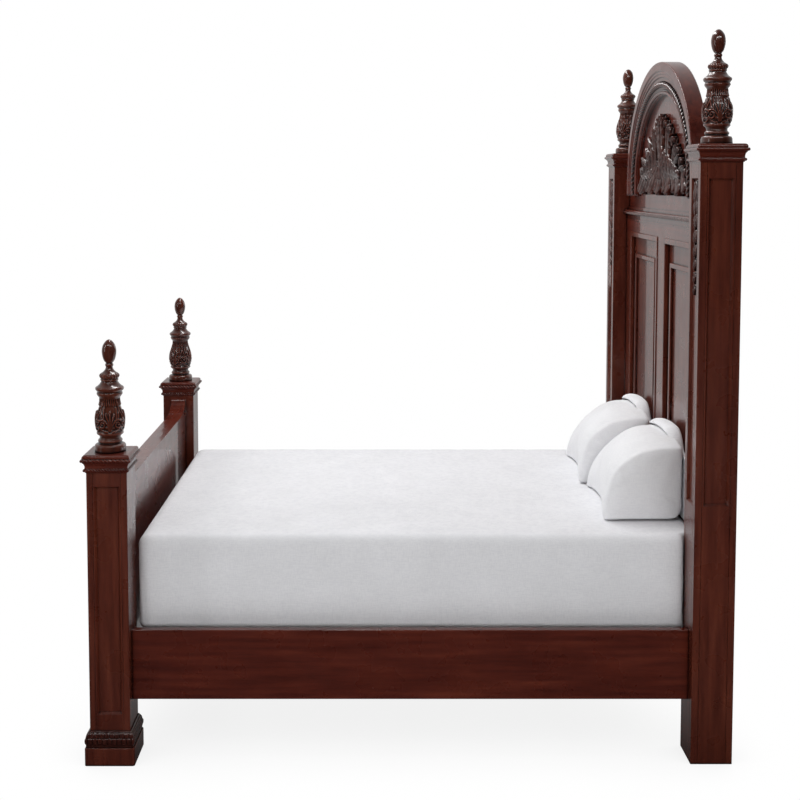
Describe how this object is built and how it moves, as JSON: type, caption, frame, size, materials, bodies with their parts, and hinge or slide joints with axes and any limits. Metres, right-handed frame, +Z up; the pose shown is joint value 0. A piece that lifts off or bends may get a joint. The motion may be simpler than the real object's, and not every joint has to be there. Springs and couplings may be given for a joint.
{
  "type": "four poster bed",
  "caption": "Four poster bed with an arched, carved headboard, a low footboard, square panelled posts with turned finials, mattress, box spring and pillows.",
  "frame": {"origin": "on the floor, at the middle of the bed's footprint", "axes": "+X across the bed towards its right-hand side rail, +Y along the bed towards the head end, +Z up"},
  "size_m": [1.812, 2.43, 2.723],
  "materials": {
    "cherry": "gloss lacquer, dark cherry stain",
    "carved_cherry": "gloss lacquer over carving, darker in the hollows",
    "cherry_veneer": "satin lacquer",
    "pine": "bare planed softwood",
    "steel": "zinc plated",
    "sheet_fabric": "fine woven cotton",
    "pillow_fabric": "fine woven cotton",
    "ticking_fabric": "woven ticking"
  },
  "bodies": {
    "bed_frame": {"center_legs": "pine", "crown_arch": "cherry", "crown_bead_moulding": "cherry", "crown_rope_moulding": "carved_cherry", "finial_pins": "steel", "foot_collar_left": "carved_cherry", "foot_collar_right": "carved_cherry", "foot_plinth_left": "cherry", "foot_plinth_right": "cherry", "foot_post_cap_left": "cherry", "foot_post_cap_right": "cherry", "foot_post_left": "cherry", "foot_post_panels": "cherry", "foot_post_right": "cherry", "footboard_bottom_rail": "cherry", "footboard_inner_sheet": "cherry_veneer", "footboard_panel_mouldings": "cherry", "footboard_panels": "cherry", "footboard_stiles": "cherry", "footboard_top_rail": "cherry", "head_post_cap_left": "cherry", "head_post_cap_right": "cherry", "head_post_carving_left": "carved_cherry", "head_post_carving_right": "carved_cherry", "head_post_left": "cherry", "head_post_panels": "cherry", "head_post_right": "cherry", "headboard_back_sheet": "cherry_veneer", "headboard_bottom_rail": "cherry", "headboard_carving": "carved_cherry", "headboard_field": "cherry", "headboard_frieze_moulding": "cherry", "headboard_mullion": "cherry", "headboard_panel_left": "cherry", "headboard_panel_mouldings": "cherry", "headboard_panel_right": "cherry", "headboard_stile_left": "cherry", "headboard_stile_right": "cherry", "headboard_top_rail": "cherry", "ledger_screws": "steel", "post_slot_plates": "steel", "rail_hook_plates": "steel", "rail_ledger_left": "pine", "rail_ledger_right": "pine", "side_rail_left": "cherry", "side_rail_right": "cherry", "slats": "pine"},
    "box_spring": {"box_spring": "ticking_fabric"},
    "mattress": {"mattress": "sheet_fabric"},
    "pillow_back_left": {"pillow_back_left": "pillow_fabric"},
    "pillow_back_right": {"pillow_back_right": "pillow_fabric"},
    "pillow_front_left": {"pillow_front_left": "pillow_fabric"},
    "pillow_front_right": {"pillow_front_right": "pillow_fabric"},
    "foot_finial_left": {"foot_finial_left": "carved_cherry"},
    "foot_finial_right": {"foot_finial_right": "carved_cherry"},
    "head_finial_left": {"head_finial_left": "carved_cherry"},
    "head_finial_right": {"head_finial_right": "carved_cherry"},
    "leveling_glide_1": {"leveling_glide_1": "steel"},
    "leveling_glide_2": {"leveling_glide_2": "steel"},
    "leveling_glide_3": {"leveling_glide_3": "steel"}
  },
  "joints": [
    {"name": "box_spring_lift", "type": "slide", "parent": "bed_frame", "child": "box_spring", "axis": [0, 0, 1], "range_m": [0, 0.12]},
    {"name": "mattress_lift", "type": "slide", "parent": "box_spring", "child": "mattress", "axis": [0, 0, 1], "range_m": [0, 0.15]},
    {"name": "pillow_front_left_pull", "type": "slide", "parent": "mattress", "child": "pillow_front_left", "axis": [0, -1, 0], "range_m": [0, 0.25]},
    {"name": "pillow_back_left_lift", "type": "slide", "parent": "mattress", "child": "pillow_back_left", "axis": [0, 0, 1], "range_m": [0, 0.2]},
    {"name": "pillow_front_right_pull", "type": "slide", "parent": "mattress", "child": "pillow_front_right", "axis": [0, -1, 0], "range_m": [0, 0.25]},
    {"name": "pillow_back_right_lift", "type": "slide", "parent": "mattress", "child": "pillow_back_right", "axis": [0, 0, 1], "range_m": [0, 0.2]},
    {"name": "foot_finial_left_lift", "type": "slide", "parent": "bed_frame", "child": "foot_finial_left", "axis": [0, 0, 1], "range_m": [0, 0.06]},
    {"name": "foot_finial_right_lift", "type": "slide", "parent": "bed_frame", "child": "foot_finial_right", "axis": [0, 0, 1], "range_m": [0, 0.06]},
    {"name": "head_finial_left_lift", "type": "slide", "parent": "bed_frame", "child": "head_finial_left", "axis": [0, 0, 1], "range_m": [0, 0.06]},
    {"name": "head_finial_right_lift", "type": "slide", "parent": "bed_frame", "child": "head_finial_right", "axis": [0, 0, 1], "range_m": [0, 0.06]},
    {"name": "leveling_glide_1_screw", "type": "slide", "parent": "bed_frame", "child": "leveling_glide_1", "axis": [0, 0, -1], "range_m": [0, 0.015]},
    {"name": "leveling_glide_2_screw", "type": "slide", "parent": "bed_frame", "child": "leveling_glide_2", "axis": [0, 0, -1], "range_m": [0, 0.015]},
    {"name": "leveling_glide_3_screw", "type": "slide", "parent": "bed_frame", "child": "leveling_glide_3", "axis": [0, 0, -1], "range_m": [0, 0.015]}
  ]
}
